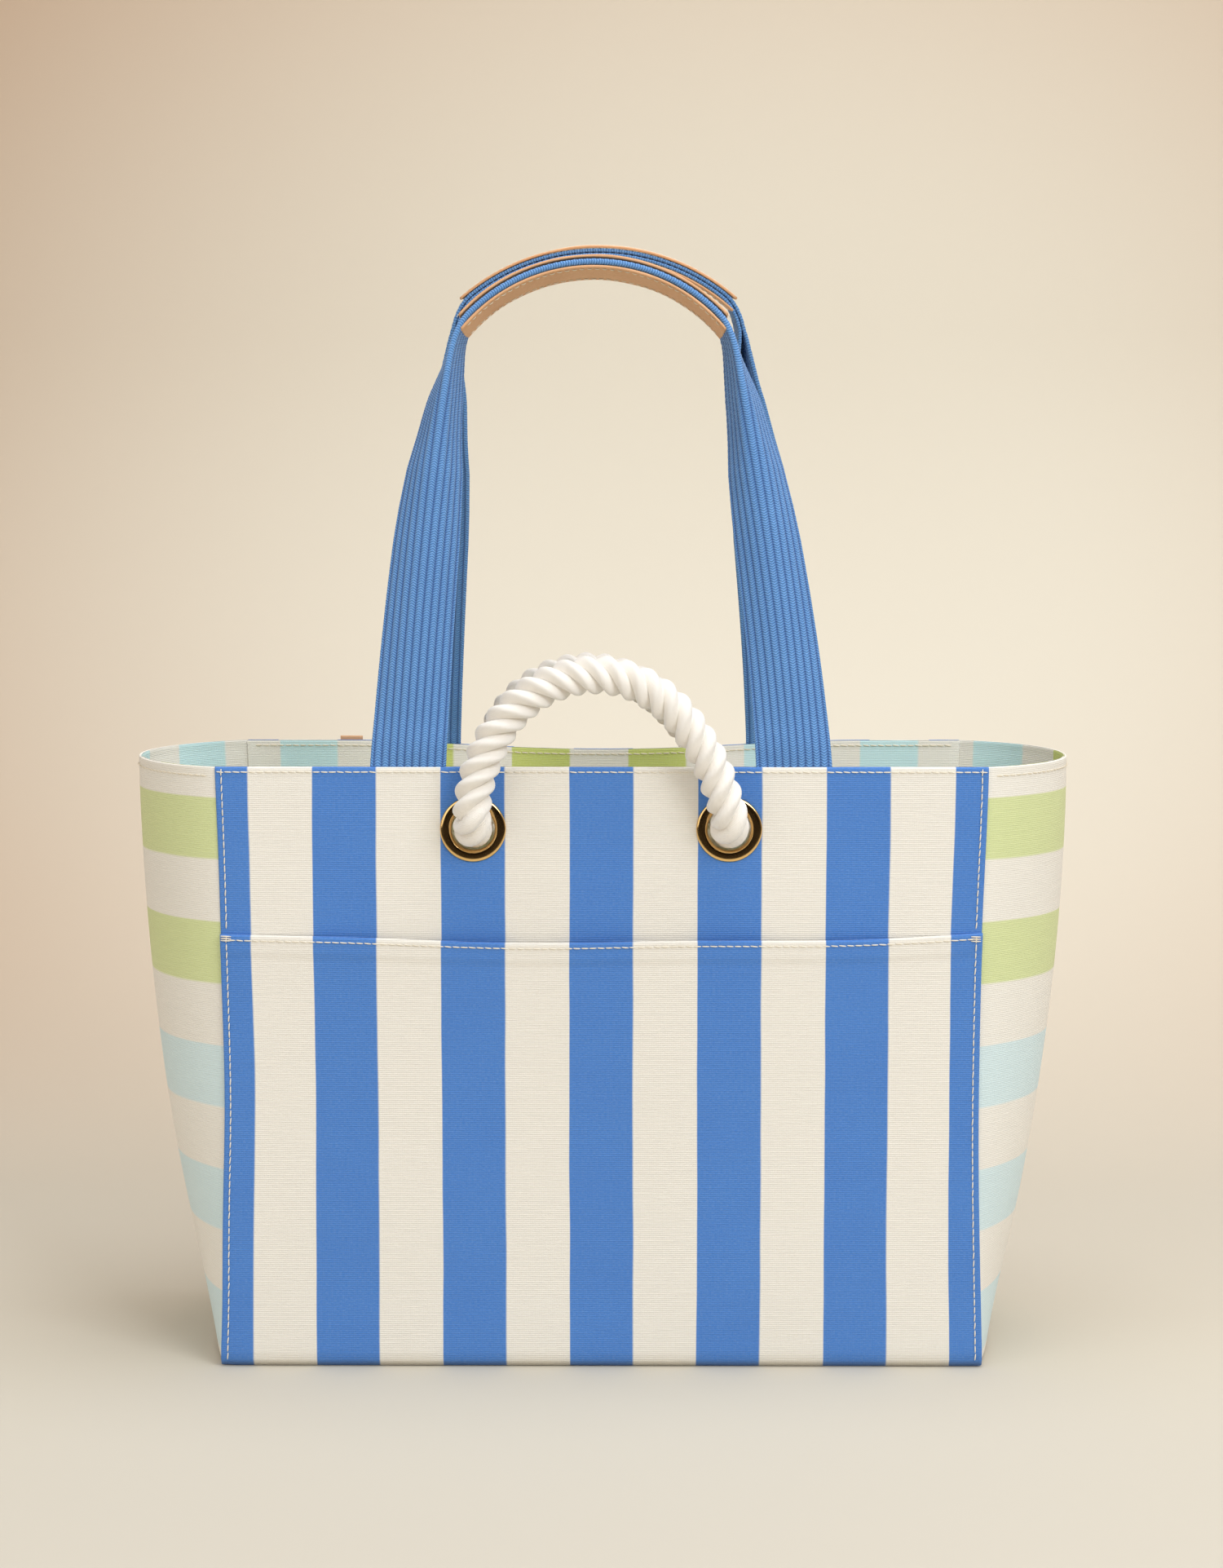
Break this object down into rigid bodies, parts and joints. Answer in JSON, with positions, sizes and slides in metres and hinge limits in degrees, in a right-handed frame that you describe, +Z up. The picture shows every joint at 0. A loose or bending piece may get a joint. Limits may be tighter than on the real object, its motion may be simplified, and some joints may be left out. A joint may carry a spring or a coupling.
{
  "type": "beach_bag",
  "caption": "Open structured canvas beach tote with bulging gussets, a slip pocket, folded webbing handles with leather grips and rope handles in metal grommets",
  "frame": {"origin": "centre of the base underside, on the floor", "axes": "+Z up through the mouth, -Y out of the front panel with the pocket, +X to the right seen from the front"},
  "size_m": [0.4838, 0.1964, 0.5708],
  "materials": {
    "striped_canvas": "matte woven canvas",
    "gusset_canvas": "matte woven canvas",
    "core_felt": "matte",
    "base_board": "matte",
    "lining_cloth": "matte woven cloth",
    "gold_metal": "polished",
    "cotton_rope": "matte twisted cotton",
    "blue_webbing": "ribbed woven webbing",
    "tan_leather": "smooth natural",
    "natural_thread": "matte",
    "white_thread": "matte"
  },
  "bodies": {
    "bag": {"body_panel": "striped_canvas", "left_gusset": "gusset_canvas", "right_gusset": "gusset_canvas", "front_pocket": "striped_canvas", "front_core": "core_felt", "back_core": "core_felt", "base_board": "base_board", "lining_panel": "lining_cloth", "left_gusset_lining": "lining_cloth", "right_gusset_lining": "lining_cloth", "front_left_grommet": "gold_metal", "front_right_grommet": "gold_metal", "back_left_grommet": "gold_metal", "back_right_grommet": "gold_metal", "front_left_washer": "gold_metal", "front_right_washer": "gold_metal", "back_left_washer": "gold_metal", "back_right_washer": "gold_metal", "front_left_rope_end": "cotton_rope", "front_right_rope_end": "cotton_rope", "back_left_rope_end": "cotton_rope", "back_right_rope_end": "cotton_rope", "front_left_strap_tail": "blue_webbing", "front_right_strap_tail": "blue_webbing", "back_left_strap_tail": "blue_webbing", "back_right_strap_tail": "blue_webbing", "front_rim_thread": "white_thread", "back_rim_thread": "white_thread", "pocket_hem_thread": "white_thread", "left_side_thread": "white_thread", "right_side_thread": "white_thread", "left_gusset_rim_thread": "natural_thread", "right_gusset_rim_thread": "natural_thread", "back_leather_tab": "tan_leather"},
    "front_handle": {"front_webbing_strap": "blue_webbing", "front_upper_grip": "tan_leather", "front_lower_grip": "tan_leather", "front_grip_thread": "natural_thread"},
    "back_handle": {"back_webbing_strap": "blue_webbing", "back_upper_grip": "tan_leather", "back_lower_grip": "tan_leather", "back_grip_thread": "natural_thread"},
    "front_rope": {"front_rope_loop": "cotton_rope"},
    "back_rope": {"back_rope_loop": "cotton_rope"}
  },
  "joints": [
    {"name": "front_handle_fold", "type": "hinge", "parent": "bag", "child": "front_handle", "pos_m": [0, -0.0765, 0.3065], "axis": [1, 0, 0], "range_deg": [0, 178]},
    {"name": "back_handle_fold", "type": "hinge", "parent": "bag", "child": "back_handle", "pos_m": [0, 0.0765, 0.3065], "axis": [-1, 0, 0], "range_deg": [0, 178]},
    {"name": "front_rope_fold", "type": "hinge", "parent": "bag", "child": "front_rope", "pos_m": [0, -0.089, 0.275], "axis": [1, 0, 0], "range_deg": [-2, 170]},
    {"name": "back_rope_fold", "type": "hinge", "parent": "bag", "child": "back_rope", "pos_m": [0, 0.089, 0.275], "axis": [-1, 0, 0], "range_deg": [-2, 170]}
  ]
}
